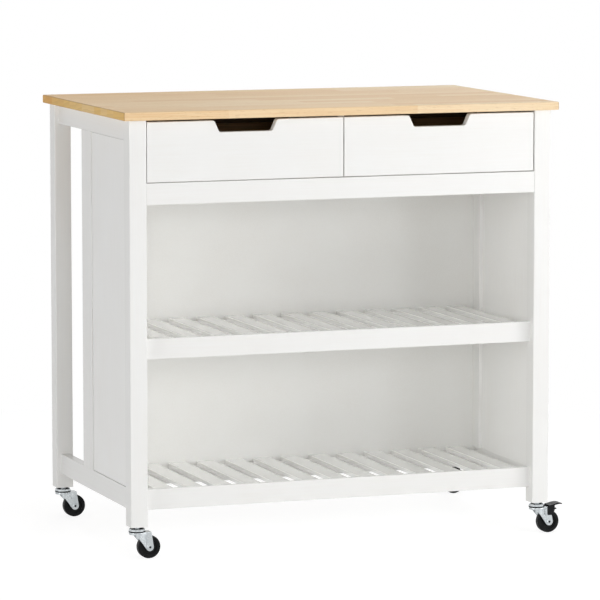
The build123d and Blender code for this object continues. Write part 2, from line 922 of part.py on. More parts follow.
def build():
    """All nodes of the cart by name."""
    nodes = {"worktop": worktop(), "back_panel": back_panel()}
    for hand, side in sides.items():
        for end in ends:
            nodes[f"{end}_{hand}_leg"] = leg(side, end)
        for level in side_rail_levels_z:
            nodes[f"{hand}_{level}_side_rail"] = side_rail(side, level)
        nodes[f"{hand}_middle_stile"] = stile(side)
        nodes[f"{hand}_side_panel"] = side_panel(side)
    for name in cross_rails:
        nodes[name] = cross_rail(name)
    for shelf in shelf_tops_z:
        nodes[f"{shelf}_shelf_front_rail"] -= slat_rebate(shelf)
        nodes[f"{shelf}_shelf_slats"] = shelf_slats(shelf)
    nodes["drawer_divider"] = drawer_divider()
    nodes["worktop_brackets"] = worktop_brackets()
    nodes["cabinet_slides"] = group(
        slide for side in sides.values() for slide in slide_pair(side, cabinet_slide)
    )
    for hand, side in sides.items():
        nodes[f"{hand}_drawer_front"] = drawer_front(side)
        for edge in sides:
            nodes[f"{hand}_drawer_{edge}_side"] = drawer_side_board(side, edge)
        nodes[f"{hand}_drawer_back"] = drawer_back(side)
        nodes[f"{hand}_drawer_bottom"] = block(drawer_bottom_spans(side))
        nodes[f"{hand}_drawer_slides"] = group(slide_pair(side, drawer_slide))
    inserts = []
    for hand, side in sides.items():
        for end in ends:
            place = at_leg(side, end)
            caster = f"{end}_{hand}_caster"
            braked = hand == "right"
            inserts.append(place * caster_insert())
            nodes[f"{caster}_stem"] = place * caster_stem()
            nodes[f"{caster}_fork"] = place * caster_fork(braked)
            nodes[f"{caster}_axle"] = place * caster_axle()
            nodes[f"{caster}_wheel"] = place * caster_wheel()
            if braked:
                nodes[f"{caster}_brake_pin"] = place * brake_pin()
                nodes[f"{caster}_brake_pedal"] = place * brake_pedal()
    nodes["caster_inserts"] = group(inserts)
    return nodes


def over_origin(shape):
    """A node's solids, moved so that the middle of the cart stands over the origin."""
    return group(to_origin * solid for solid in shape.solids())


os.makedirs("parts", exist_ok=True)
for name, shape in build().items():
    export_step(over_origin(shape), f"parts/{name}.step")
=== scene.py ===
import math

import bpy
import numpy as np
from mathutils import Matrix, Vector


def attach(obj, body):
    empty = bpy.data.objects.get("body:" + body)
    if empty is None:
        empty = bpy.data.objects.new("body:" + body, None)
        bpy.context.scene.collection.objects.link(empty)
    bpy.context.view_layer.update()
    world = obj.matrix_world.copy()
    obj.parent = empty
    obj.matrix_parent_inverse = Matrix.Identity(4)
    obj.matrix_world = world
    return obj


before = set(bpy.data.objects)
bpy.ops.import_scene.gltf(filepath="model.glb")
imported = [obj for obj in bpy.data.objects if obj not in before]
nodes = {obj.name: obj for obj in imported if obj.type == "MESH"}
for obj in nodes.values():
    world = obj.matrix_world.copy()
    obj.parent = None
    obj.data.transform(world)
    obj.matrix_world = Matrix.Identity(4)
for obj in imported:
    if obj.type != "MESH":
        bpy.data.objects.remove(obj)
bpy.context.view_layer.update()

# Colours, as sRGB hex
rubberwood_pale = "#F3DDBA"
rubberwood_mid = "#EDD0A6"
rubberwood_deep = "#E6C496"
rubberwood_line = "#B98F5E"
end_grain_pale = "#F7DAA8"
end_grain_mid = "#EEC67A"
end_grain_deep = "#E5AE62"
arris_dark = "#9A6C36"
# Plain wood of the drawer boxes: its own tan, darkened further as painted shade for the dark inside of the
# drawers
drawer_pale_with_painted_shade = "#A9855A"
drawer_deep_with_painted_shade = "#85623B"
# Brown painted shade on the back panel's front face behind the drawers
board_painted_shade_brown = "#5E4A35"
# One white lacquer in four copies: the frame and drawer fronts darker as painted shade, the back panel
# darker still as painted shade, the side panels and slats lighter as painted light
paint_white_painted_shade = "#EFEFEE"
paint_tone_painted_shade = "#EDECEA"
panel_white_painted_light = "#F3F3F2"
panel_tone_painted_light = "#F0EFED"
slat_white_painted_light = "#F8F8F6"
slat_tone_painted_light = "#F5F5F2"
board_white_painted_shade = "#ECECEA"
board_tone_painted_shade = "#E8E7E4"
zinc_bright = "#D0D4D6"
zinc_dull = "#9AA0A3"
galvanised_bright = "#C3C7C9"
galvanised_dull = "#9CA1A4"
rubber_black = "#08090A"
rubber_dust = "#151617"
nylon_black = "#0D0D0F"
nylon_scuff = "#1A1A1C"
# Black of the rings in the casters' dishes and race grooves: painted shade
shade_ring_black = "#0C0D0E"
# Blackened steel of the brake pins, also the painted shade of the axle ends
oxide_black = "#1E1F21"
oxide_grey = "#303235"
floor_pale = "#F4F4F2"
floor_shadow_tone = "#8E8E8E"
white = "#FFFFFF"
black = "#000000"

# Sizes of the markings in wood, paint, metal and mouldings, in millimetres
stave_width = 46.0
stave_length = 430.0
glue_line = 0.5
grain_width = 2.6
grain_length = 170.0
pore_width = 0.9
pore_length = 14.0
end_ring = 20.106
fibre_width = 3.0
fibre_length = 120.0
board_fleck = 2.0
paint_peel = 1.6
paint_patch = 140.0
draw_mark_width = 0.7
draw_mark_length = 9.0
scuff_patch = 11.0

# Depths of the surface relief, in millimetres
stave_relief = 0.4
paint_relief = 0.3
drawer_relief = 0.3
plating_relief = 0.2
moulding_relief = 0.2

# Height of the lacquer's orange peel, as a share of the grain under it
peel_share = 0.35

# How far the worktop's markings cover its ground colour, as shares
grain_share = 0.42
pore_share = 0.5
glue_share = 0.45
ring_share = 0.22
arris_share = 0.6

# Gloss: how the finishes bend light, and how rough they are
oil_ior = 1.42
oil_rough = (0.56, 0.7)
lacquer_ior = 1.48
satin_spread = (-0.01, 0.02)
coat_ior = 1.5
coat_rough = 0.08
drawer_rough = (0.55, 0.7)
plating_spread = 0.18
moulding_ior = 1.5
moulding_specular = 0.13

# Growth rings look the same all along a stave, and are flat ovals: wider than high
ring_squeeze = (0.0, 1.0, 1.6)

# Start of the draws that give the staves their tones and ends
stave_layout = 1223262.0

# A face looks one way where its normal has more than this share along that way
facing_limit = 0.5

# Radians that the wave texture goes through in one unit
wave_radians = 20.0

# Sockets of a Mix node that mixes colours
mix_share = 0
mix_under = 6
mix_over = 7
mix_result = 2

# Places on the cart, in millimetres: the fasteners' faces, the slides and the casters
cart_shift = -12.0
frame_top = 939.0
drawer_underside = 814.0
bracket_rail_x = 453.0
bracket_side_y = (-183.0, 209.0)
bracket_rear_x = 260.0
bracket_rear_y = 271.0
bracket_gauge = 2.0
bracket_screw = 12.0
back_panel_rear_y = 60.0
panel_screw_x = (-360.0, -180.0, 0.0, 180.0, 360.0)
panel_screw_z = (126.0, 446.0, 782.2)
slide_outer_wall = 445.0
slide_inner_wall = 7.5
slide_front_y = -271.0
slide_height_z = 840.0
slide_web = 1.2
drawer_slide_web = 11.5
cabinet_screw_runs = (40.0, 150.0, 260.0)
drawer_screw_runs = (30.0, 240.0)
swivel_x = {"left": -476.0, "right": 452.0}
swivel_y = {"front": -274.0, "rear": 280.0}
caster_trail = 25.5
wheel_radius = 25.0
axle_end = 13.3
hands = {"left": -1, "right": 1}

# Sizes of the added pieces, in millimetres and as shares of a radius
screw_radius = 3.6
screw_height = 1.6
screw_dome_power = 6
screw_dome_ease = 0.4
screw_slot = 0.17
screw_slot_wall = 0.5
screw_slot_reach = 0.62
screw_slot_rise = 0.6
screw_slot_depth = 1.0
screw_lines = 21
socket_radius = 2.6
socket_height = 0.25
socket_floor = 0.05
socket_share = 0.62
socket_lines = 17
# Black rings in each caster's dish and in the groove under its race, standing in for the shade there:
# painted shade
shade_ring_turns = 64
dish_shade_ring_section = (
    (6.7, 60.9), (14.9, 60.9), (14.9, 62.9), (14.2, 63.4), (13.0, 62.5),
    (11.0, 62.0), (9.0, 62.3), (7.8, 63.2), (6.7, 63.0),
)
skirt_section = ((17.5, 58.35), (17.8, 58.35), (18.0, 58.8), (17.9, 60.3), (17.5, 60.5))

# Floor and light: lengths in metres, strengths, and how often light passes on between matt faces.
# The floor shows the shadow near the cart and is plain white further out.
floor_half = 40.0
floor_shadow_reach = 0.9
floor_shadow_end = 1.9
floor_glow = 0.86
world_light = 0.08
light_bounces = 12
lamp_distance = 6.5
lamp_size = 2.6
lamp_target = (0.0, 0.0, 0.5)

# Soft lamps: degrees from straight in front to the right, degrees up, and watts
lamps = {
    "left_low": (-70.0, 4.0, 135.0),
    "front_low": (-15.0, 4.0, 82.0),
    "front_high": (10.0, 42.0, 60.0),
    "right_front_low": (35.0, 4.0, 80.0),
    "right_low": (60.0, 6.0, 160.0),
    "overhead": (0.0, 88.0, 109.0),
    "rear_left_high": (-150.0, 35.0, 26.0),
    "rear_right_high": (150.0, 35.0, 38.0),
    "rear_low": (150.0, 4.0, 64.0),
}

# Camera, fitted to the photograph's vanishing lines, in metres and degrees
camera_place = (-3.00533, -8.26223, 1.55235)
camera_yaw = 19.9511
camera_pitch = 6.7832
camera_far = 200.0
focal_pixels = 3975.05
frame_pixels = 600.0
sensor_width = 36.0


def linear(colour):
    """sRGB hex colour as linear red, green, blue and alpha."""
    parts = np.array([int(colour[i:i + 2], 16) for i in (1, 3, 5)]) / 255.0
    low = parts / 12.92
    high = ((parts + 0.055) / 1.055) ** 2.4
    return (*np.where(parts <= 0.04045, low, high), 1.0)


def per(size):
    """Repeats per metre of a pattern whose feature has this size in millimetres."""
    return 1000.0 / size


def metres(size):
    """A size or place in millimetres as metres."""
    return size / 1000.0


def add(tree, kind, settings, inputs):
    """Add a node. Inputs are values, sockets, or nodes whose first output is linked."""
    node = tree.nodes.new(kind)
    for name, value in settings.items():
        setattr(node, name, value)
    for key, value in inputs.items():
        if isinstance(value, bpy.types.Node):
            value = value.outputs[0]
        if isinstance(value, bpy.types.NodeSocket):
            tree.links.new(value, node.inputs[key])
        else:
            node.inputs[key].default_value = value
    return node


def set_stops(ramp, stops):
    """Give a colour ramp its stops, as pairs of place and colour in rising order."""
    elements = ramp.color_ramp.elements
    elements[0].position = stops[0][0]
    elements[1].position = stops[-1][0]
    for place, _ in stops[1:-1]:
        elements.new(place)
    for element, (_, colour) in zip(elements, stops):
        element.color = linear(colour)


def start_material(name):
    """Empty node material with a principled shader on its output, and its object coordinates."""
    material = bpy.data.materials.new(name)
    material.use_nodes = True
    tree = material.node_tree
    tree.nodes.clear()
    shader = add(tree, "ShaderNodeBsdfPrincipled", {}, {})
    add(tree, "ShaderNodeOutputMaterial", {}, {"Surface": shader})
    spot = add(tree, "ShaderNodeTexCoord", {}, {}).outputs["Object"]
    return material, tree, shader, spot


def link_shader(tree, shader, colour, rough, relief):
    """Link a mixed colour, a roughness and a surface relief to a shader."""
    tree.links.new(colour.outputs[mix_result], shader.inputs["Base Color"])
    tree.links.new(rough.outputs[0], shader.inputs["Roughness"])
    tree.links.new(relief.outputs[0], shader.inputs["Normal"])


def rubberwood_staves():
    """Rubberwood staves, glued up, planed and oiled.

    The eye sees long staves of slightly different tan, fine grain lines along them,
    short pores, and a deeper golden end grain with ring arcs. The oil gives a soft sheen.
    """
    material, tree, shader, spot = start_material("rubberwood_staves_planed_and_oiled")
    # Staves: rows across the worktop, each cut into runs, and a drawn tone for each run
    along, across = add(tree, "ShaderNodeSeparateXYZ", {}, {0: spot}).outputs[:2]
    row_at = add(tree, "ShaderNodeMath", {"operation": "MULTIPLY"}, {0: across, 1: per(stave_width)})
    row_count = add(tree, "ShaderNodeMath", {"operation": "FLOOR"}, {0: row_at})
    row = add(tree, "ShaderNodeMath", {"operation": "ADD"}, {0: row_count, 1: stave_layout})
    row_draw = add(tree, "ShaderNodeTexWhiteNoise", {"noise_dimensions": "1D"}, {"W": row})
    run_at = add(
        tree, "ShaderNodeMath", {"operation": "MULTIPLY_ADD"},
        {0: along, 1: per(stave_length), 2: row_draw},
    )
    run = add(tree, "ShaderNodeMath", {"operation": "FLOOR"}, {0: run_at})
    stave = add(tree, "ShaderNodeCombineXYZ", {}, {0: row, 1: run})
    stave_draw = add(tree, "ShaderNodeTexWhiteNoise", {"noise_dimensions": "2D"}, {"Vector": stave})
    tone = add(tree, "ShaderNodeValToRGB", {}, {0: stave_draw})
    set_stops(tone, ((0.0, rubberwood_deep), (0.5, rubberwood_mid), (1.0, rubberwood_pale)))
    # Grain lines: noise drawn out along the stave and started afresh in each one
    fresh = add(
        tree, "ShaderNodeVectorMath", {"operation": "ADD"},
        {0: spot, 1: stave_draw.outputs["Color"]},
    )
    grain_at = add(
        tree, "ShaderNodeMapping", {},
        {0: fresh, "Scale": (per(grain_length), per(grain_width), per(grain_width))},
    )
    grain = add(
        tree, "ShaderNodeTexNoise", {},
        {"Vector": grain_at, "Scale": 1.0, "Detail": 5.0, "Roughness": 0.62, "Distortion": 0.25},
    )
    grain_depth = add(
        tree, "ShaderNodeMapRange", {},
        {"Value": grain, "From Min": 0.42, "From Max": 0.72, "To Max": grain_share},
    )
    grained = add(
        tree, "ShaderNodeMix", {"data_type": "RGBA", "blend_type": "MULTIPLY"},
        {mix_share: grain_depth, mix_under: tone, mix_over: linear(rubberwood_deep)},
    )
    # Pores: short dark strokes along the grain
    pore_at = add(
        tree, "ShaderNodeMapping", {},
        {0: fresh, "Scale": (per(pore_length), per(pore_width), per(pore_width))},
    )
    pore = add(tree, "ShaderNodeTexNoise", {}, {"Vector": pore_at, "Scale": 1.0, "Detail": 1.0})
    pore_depth = add(
        tree, "ShaderNodeMapRange", {},
        {"Value": pore, "From Min": 0.64, "From Max": 0.74, "To Max": pore_share},
    )
    pored = add(
        tree, "ShaderNodeMix", {"data_type": "RGBA"},
        {mix_share: pore_depth, mix_under: grained.outputs[mix_result], mix_over: linear(rubberwood_line)},
    )
    # Glue lines between the rows of staves
    row_part = add(tree, "ShaderNodeMath", {"operation": "FRACT"}, {0: row_at})
    seam = add(
        tree, "ShaderNodeMath", {"operation": "LESS_THAN"},
        {0: row_part, 1: glue_line / stave_width},
    )
    seam_depth = add(tree, "ShaderNodeMath", {"operation": "MULTIPLY"}, {0: seam, 1: glue_share})
    seamed = add(
        tree, "ShaderNodeMix", {"data_type": "RGBA"},
        {mix_share: seam_depth, mix_under: pored.outputs[mix_result], mix_over: linear(rubberwood_line)},
    )
    # End grain on the two short faces: arcs of growth rings about a pith far below each stave
    pith = add(tree, "ShaderNodeMapping", {}, {0: fresh, "Scale": ring_squeeze})
    rings = add(
        tree, "ShaderNodeTexWave",
        {"wave_type": "RINGS", "rings_direction": "X", "wave_profile": "SAW"},
        {
            "Vector": pith,
            "Scale": per(end_ring) * 2.0 * math.pi / wave_radians,
            "Distortion": 1.5,
            "Detail": 2.0,
        },
    )
    ring_depth = add(
        tree, "ShaderNodeMath", {"operation": "MULTIPLY"},
        {0: rings.outputs["Fac"], 1: ring_share},
    )
    end_tone = add(tree, "ShaderNodeValToRGB", {}, {0: stave_draw})
    set_stops(end_tone, ((0.0, end_grain_deep), (0.5, end_grain_mid), (1.0, end_grain_pale)))
    end_ringed = add(
        tree, "ShaderNodeMix", {"data_type": "RGBA"},
        {mix_share: ring_depth, mix_under: end_tone, mix_over: linear(rubberwood_line)},
    )
    facing = add(tree, "ShaderNodeNewGeometry", {}, {}).outputs["Normal"]
    facing_axes = add(tree, "ShaderNodeSeparateXYZ", {}, {0: facing})
    facing_end = add(tree, "ShaderNodeMath", {"operation": "ABSOLUTE"}, {0: facing_axes})
    on_end = add(
        tree, "ShaderNodeMapRange", {},
        {"Value": facing_end, "From Min": 0.45, "From Max": 0.8},
    )
    ended = add(
        tree, "ShaderNodeMix", {"data_type": "RGBA"},
        {
            mix_share: on_end,
            mix_under: seamed.outputs[mix_result],
            mix_over: end_ringed.outputs[mix_result],
        },
    )
    # The rounded arris of each end is drawn darker, as a dark line along that edge
    arris = add(tree, "ShaderNodeValToRGB", {}, {0: facing_end})
    set_stops(arris, ((0.1, black), (0.35, white), (0.8, white), (0.97, black)))
    arris_depth = add(tree, "ShaderNodeMath", {"operation": "MULTIPLY"}, {0: arris, 1: arris_share})
    colour = add(
        tree, "ShaderNodeMix", {"data_type": "RGBA"},
        {mix_share: arris_depth, mix_under: ended.outputs[mix_result], mix_over: linear(arris_dark)},
    )
    rough = add(
        tree, "ShaderNodeMapRange", {},
        {"Value": grain, "From Min": 0.3, "From Max": 0.75, "To Min": oil_rough[0], "To Max": oil_rough[1]},
    )
    relief = add(
        tree, "ShaderNodeBump", {},
        {"Strength": 0.25, "Distance": metres(stave_relief), "Height": grain},
    )
    link_shader(tree, shader, colour, rough, relief)
    shader.inputs["IOR"].default_value = oil_ior
    return material


def lacquered_wood(name, stretch, tones, satin):
    """White lacquer sprayed on solid wood or board.

    The eye sees an even warm white with a satin sheen, faint grain telegraphing along
    the piece, a fine orange peel, and very slight patches where the film is thinner.
    Stretch is the feature size along each axis in millimetres.
    """
    material, tree, shader, spot = start_material(name)
    patch = add(
        tree, "ShaderNodeTexNoise", {},
        {"Vector": spot, "Scale": per(paint_patch), "Detail": 3.0},
    )
    grain_at = add(tree, "ShaderNodeMapping", {}, {0: spot, "Scale": [per(size) for size in stretch]})
    grain = add(
        tree, "ShaderNodeTexNoise", {},
        {"Vector": grain_at, "Scale": 1.0, "Detail": 4.0, "Roughness": 0.6},
    )
    share = add(tree, "ShaderNodeMath", {"operation": "MULTIPLY"}, {0: patch, 1: grain})
    spread = add(tree, "ShaderNodeMapRange", {}, {"Value": share, "From Min": 0.12, "From Max": 0.4})
    colour = add(
        tree, "ShaderNodeMix", {"data_type": "RGBA"},
        {mix_share: spread, mix_under: linear(tones[0]), mix_over: linear(tones[1])},
    )
    peel = add(tree, "ShaderNodeTexNoise", {}, {"Vector": spot, "Scale": per(paint_peel), "Detail": 1.0})
    height = add(
        tree, "ShaderNodeMath", {"operation": "MULTIPLY_ADD"},
        {0: peel, 1: peel_share, 2: grain},
    )
    relief = add(
        tree, "ShaderNodeBump", {},
        {"Strength": 0.03, "Distance": metres(paint_relief), "Height": height},
    )
    smoothest, dullest = (satin + step for step in satin_spread)
    rough = add(
        tree, "ShaderNodeMapRange", {},
        {"Value": patch, "From Min": 0.3, "From Max": 0.7, "To Min": smoothest, "To Max": dullest},
    )
    link_shader(tree, shader, colour, rough, relief)
    shader.inputs["IOR"].default_value = lacquer_ior
    return material


def clear_coated(material):
    """Clear gloss coat over paint: seen at a low angle, it mirrors what stands behind the piece."""
    shader = material.node_tree.nodes["Principled BSDF"]
    shader.inputs["Coat Weight"].default_value = 1.0
    shader.inputs["Coat Roughness"].default_value = coat_rough
    shader.inputs["Coat IOR"].default_value = coat_ior
    return material


def shade_behind_drawers(material):
    """Darken the front face of a painted board behind the drawers with a brown painted shade."""
    tree = material.node_tree
    painted = tree.nodes["Principled BSDF"].inputs["Base Color"]
    spot = add(tree, "ShaderNodeTexCoord", {}, {}).outputs["Object"]
    height = add(tree, "ShaderNodeSeparateXYZ", {}, {0: spot}).outputs["Z"]
    facing = add(tree, "ShaderNodeNewGeometry", {}, {}).outputs["Normal"]
    toward_back = add(tree, "ShaderNodeSeparateXYZ", {}, {0: facing}).outputs["Y"]
    front = add(
        tree, "ShaderNodeMath", {"operation": "LESS_THAN"},
        {0: toward_back, 1: -facing_limit},
    )
    behind = add(
        tree, "ShaderNodeMath", {"operation": "GREATER_THAN"},
        {0: height, 1: metres(drawer_underside)},
    )
    # Painted shade: front faces above the drawers' underside turn brown
    in_shade = add(tree, "ShaderNodeMath", {"operation": "MULTIPLY"}, {0: front, 1: behind})
    colour = add(
        tree, "ShaderNodeMix", {"data_type": "RGBA"},
        {mix_share: in_shade, mix_under: painted.links[0].from_socket, mix_over: linear(board_painted_shade_brown)},
    )
    tree.links.new(colour.outputs[mix_result], painted)
    return material


def plain_wood(name, stretch, white_below):
    """Plain wood of the drawer boxes, planed and clear lacquered matt.

    The eye sees an even tan with soft darker grain bands drawn out along the piece and
    fine pores between them. Stretch is the feature size along each axis in millimetres.
    A bottom board is white where it faces down, as its lower face is painted.
    """
    material, tree, shader, spot = start_material(name)
    grain_at = add(tree, "ShaderNodeMapping", {}, {0: spot, "Scale": [per(size) for size in stretch]})
    grain = add(
        tree, "ShaderNodeTexNoise", {},
        {"Vector": grain_at, "Scale": 1.0, "Detail": 5.0, "Roughness": 0.65, "Distortion": 0.3},
    )
    bands = add(tree, "ShaderNodeMapRange", {}, {"Value": grain, "From Min": 0.32, "From Max": 0.7})
    # The drawer wood's tans are darker than the wood's own: painted shade for the dark inside of the
    # drawers
    colour = add(
        tree, "ShaderNodeMix", {"data_type": "RGBA"},
        {mix_share: bands, mix_under: linear(drawer_pale_with_painted_shade), mix_over: linear(drawer_deep_with_painted_shade)},
    )
    if white_below:
        facing = add(tree, "ShaderNodeNewGeometry", {}, {}).outputs["Normal"]
        upward = add(tree, "ShaderNodeSeparateXYZ", {}, {0: facing}).outputs["Z"]
        below = add(tree, "ShaderNodeMath", {"operation": "LESS_THAN"}, {0: upward, 1: -facing_limit})
        colour = add(
            tree, "ShaderNodeMix", {"data_type": "RGBA"},
            {mix_share: below, mix_under: colour.outputs[mix_result], mix_over: linear(board_white_painted_shade)},
        )
    smoothest, dullest = drawer_rough
    rough = add(
        tree, "ShaderNodeMapRange", {},
        {"Value": grain, "From Min": 0.3, "From Max": 0.75, "To Min": smoothest, "To Max": dullest},
    )
    relief = add(
        tree, "ShaderNodeBump", {},
        {"Strength": 0.15, "Distance": metres(drawer_relief), "Height": grain},
    )
    link_shader(tree, shader, colour, rough, relief)
    return material


def plated_steel(name, tones, smooth, cloud):
    """Steel formed to shape and plated or blackened.

    The eye sees a slightly cloudy metal: patches in the plating change its tone and
    roughness, and fine drawing marks break up the highlights. Cloud is the size of a
    patch in millimetres.
    """
    material, tree, shader, spot = start_material(name)
    clouds = add(tree, "ShaderNodeTexNoise", {}, {"Vector": spot, "Scale": per(cloud), "Detail": 4.0})
    colour = add(
        tree, "ShaderNodeMix", {"data_type": "RGBA"},
        {mix_share: clouds, mix_under: linear(tones[0]), mix_over: linear(tones[1])},
    )
    marks_at = add(
        tree, "ShaderNodeMapping", {},
        {0: spot, "Scale": (per(draw_mark_length), per(draw_mark_length), per(draw_mark_width))},
    )
    marks = add(tree, "ShaderNodeTexNoise", {}, {"Vector": marks_at, "Scale": 1.0, "Detail": 2.0})
    dullest = smooth + plating_spread
    rough = add(
        tree, "ShaderNodeMapRange", {},
        {"Value": clouds, "From Min": 0.3, "From Max": 0.75, "To Min": smooth, "To Max": dullest},
    )
    relief = add(
        tree, "ShaderNodeBump", {},
        {"Strength": 0.15, "Distance": metres(plating_relief), "Height": marks},
    )
    link_shader(tree, shader, colour, rough, relief)
    shader.inputs["Metallic"].default_value = 1.0
    return material


def black_moulding(name, tones, rough_span, grit):
    """Black rubber or nylon from a mould.

    The eye sees a near-black body with a dull sheen, fine moulded grit, and paler scuffs
    or dust in soft patches. Grit is the size of a grain in millimetres.
    """
    material, tree, shader, spot = start_material(name)
    scuff = add(tree, "ShaderNodeTexNoise", {}, {"Vector": spot, "Scale": per(scuff_patch), "Detail": 5.0})
    share = add(tree, "ShaderNodeMapRange", {}, {"Value": scuff, "From Min": 0.45, "From Max": 0.75})
    colour = add(
        tree, "ShaderNodeMix", {"data_type": "RGBA"},
        {mix_share: share, mix_under: linear(tones[0]), mix_over: linear(tones[1])},
    )
    grain = add(tree, "ShaderNodeTexNoise", {}, {"Vector": spot, "Scale": per(grit), "Detail": 2.0})
    smoothest, dullest = rough_span
    rough = add(
        tree, "ShaderNodeMapRange", {},
        {"Value": scuff, "From Min": 0.3, "From Max": 0.75, "To Min": smoothest, "To Max": dullest},
    )
    relief = add(
        tree, "ShaderNodeBump", {},
        {"Strength": 0.2, "Distance": metres(moulding_relief), "Height": grain},
    )
    link_shader(tree, shader, colour, rough, relief)
    shader.inputs["IOR"].default_value = moulding_ior
    shader.inputs["Specular IOR Level"].default_value = moulding_specular
    return material


def grain_along(axis):
    """Feature sizes of grain that runs along one axis."""
    return [fibre_length if name == axis else fibre_width for name in "xyz"]


wood = rubberwood_staves()
# The frame, side panels, slats and back panel get lighter and darker copies of one white lacquer: painted
# light and painted shade
paint = {
    axis: lacquered_wood(
        f"white_satin_lacquer_on_wood_{axis}", grain_along(axis), (paint_white_painted_shade, paint_tone_painted_shade), satin=0.24
    )
    for axis in "xyz"
}
panel_paint = lacquered_wood(
    "white_satin_lacquer_on_panels", grain_along("z"), (panel_white_painted_light, panel_tone_painted_light), satin=0.24
)
slat_paint = clear_coated(
    lacquered_wood(
        "white_lacquer_clear_coated_on_slats", grain_along("y"), (slat_white_painted_light, slat_tone_painted_light), satin=0.2
    )
)
drawer_wood = {
    axis: plain_wood(f"plain_wood_clear_lacquered_{axis}", grain_along(axis), white_below=False)
    for axis in "xy"
}
drawer_board = plain_wood(
    "plain_board_lacquered_with_white_underside", grain_along("x"), white_below=True
)
# The back panel gets a brown painted shade on its front face behind the drawers
board = shade_behind_drawers(
    lacquered_wood("white_lacquered_fibreboard", [board_fleck] * 3, (board_white_painted_shade, board_tone_painted_shade), satin=0.3)
)
zinc = plated_steel(
    "bright_zinc_plated_pressed_steel", (zinc_bright, zinc_dull), smooth=0.2, cloud=12.0
)
galvanised = plated_steel(
    "galvanised_rolled_steel", (galvanised_bright, galvanised_dull), smooth=0.3, cloud=7.0
)
rubber = black_moulding(
    "black_hard_rubber_moulded", (rubber_black, rubber_dust), rough_span=(0.4, 0.58), grit=0.8
)
# Black rings in the casters: painted shade in the dish and the race groove
shade_ring = black_moulding(
    "black_painted_shade_ring", (shade_ring_black, rubber_black), rough_span=(0.5, 0.65), grit=0.7
)
# Blackened steel of the brake pins, also worn by the axle-end discs as painted shade
blackened = plated_steel("blackened_steel_and_painted_shade", (oxide_black, oxide_grey), smooth=0.4, cloud=4.0)
nylon = black_moulding(
    "black_nylon_moulded", (nylon_black, nylon_scuff), rough_span=(0.46, 0.6), grit=0.6
)


def finish_of(name):
    """Material of a CAD node, by what the piece is and which way its grain runs."""
    if name == "worktop":
        return wood
    if name.endswith("wheel"):
        return rubber
    if name.endswith("brake_pedal"):
        return nylon
    if "slides" in name or "bracket" in name or "insert" in name:
        return galvanised
    if name.endswith("brake_pin"):
        return blackened
    if "caster" in name:
        return zinc
    if name.endswith(("left_side", "right_side")):
        return drawer_wood["y"]
    if name.endswith("drawer_back"):
        return drawer_wood["x"]
    if name.endswith("drawer_bottom"):
        return drawer_board
    if name == "back_panel":
        return board
    if name.endswith("slats"):
        return slat_paint
    if name.endswith("side_panel"):
        return panel_paint
    if name.endswith(("leg", "stile")):
        return paint["z"]
    if name.endswith(("side_rail", "divider")):
        return paint["y"]
    return paint["x"]


for name, part in nodes.items():
    part.data.materials.clear()
    part.data.materials.append(finish_of(name))


# Added pieces, as surfaces worked out on grids
def grid_faces(index, wrap_rows, wrap_columns):
    """Quads between neighbouring points of a grid of vertex numbers.

    A wrapped direction also joins its last line of points to its first.
    """
    if wrap_rows:
        index = np.vstack([index, index[:1]])
    if wrap_columns:
        index = np.hstack([index, index[:, :1]])
    quads = (index[:-1, :-1], index[:-1, 1:], index[1:, 1:], index[1:, :-1])
    return np.stack(quads, axis=-1).reshape(-1, 4)


def ring(section, turns):
    """Ring turned about the upright axis from a closed section of radius and height.

    Point (i, a) lies at radius r_i in the direction of angle a, at height z_i.
    """
    radius, height = np.array(section).T
    angle = np.arange(turns) * 2.0 * math.pi / turns
    points = np.stack(
        [
            np.outer(radius, np.cos(angle)),
            np.outer(radius, np.sin(angle)),
            np.outer(height, np.ones(turns)),
        ],
        axis=-1,
    )
    index = np.arange(len(radius) * turns).reshape(len(radius), turns)
    return points.reshape(-1, 3), grid_faces(index, True, True)


def capped_disc(radius, height_at, lines):
    """Closed button standing on the plane z = 0.

    A square grid (u, v) from -1 to 1 is drawn into a disc by x = u sqrt(1 - v v / 2) and
    y = v sqrt(1 - u u / 2). Its top has the height that height_at gives for x and y as
    shares of the radius. Its flat underside shares the rim's points.
    """
    step = np.linspace(-1.0, 1.0, lines)
    u, v = np.meshgrid(step, step, indexing="ij")
    x = u * np.sqrt(1.0 - v * v / 2.0)
    y = v * np.sqrt(1.0 - u * u / 2.0)
    rim = (np.abs(u) == 1.0) | (np.abs(v) == 1.0)
    top = np.stack([x * radius, y * radius, np.where(rim, 0.0, height_at(x, y))], axis=-1)
    under = np.stack([x * radius, y * radius, np.zeros_like(x)], axis=-1)[~rim]
    upper = np.arange(lines * lines).reshape(lines, lines)
    lower = upper.copy()
    lower[~rim] = lines * lines + np.arange(len(under))
    points = np.vstack([top.reshape(-1, 3), under])
    faces = np.vstack([grid_faces(upper, False, False)[:, ::-1], grid_faces(lower, False, False)])
    return points, faces


def screw_top(x, y):
    """Pan head: a sixth-power dome with a cross recess that gets shallower outward."""
    away = np.hypot(x, y)
    dome = screw_height * np.clip(1.0 - away**screw_dome_power, 0.0, 1.0) ** screw_dome_ease
    across = np.minimum(np.abs(x), np.abs(y))
    in_arm = np.clip((screw_slot - across) / (screw_slot_wall * screw_slot), 0.0, 1.0)
    in_reach = np.clip((screw_slot_reach - away) / (screw_slot_rise * screw_slot_reach), 0.0, 1.0)
    return dome - screw_slot_depth * in_arm * in_reach


def socket_top(x, y):
    """Flat collar round a six-sided socket, whose sides are three pairs of straight lines."""
    turned = np.array([0.0, math.pi / 3.0, 2.0 * math.pi / 3.0]).reshape(3, 1, 1)
    side = np.abs(x * np.cos(turned) + y * np.sin(turned)).max(axis=0)
    return np.where(side < socket_share, socket_floor, socket_height)


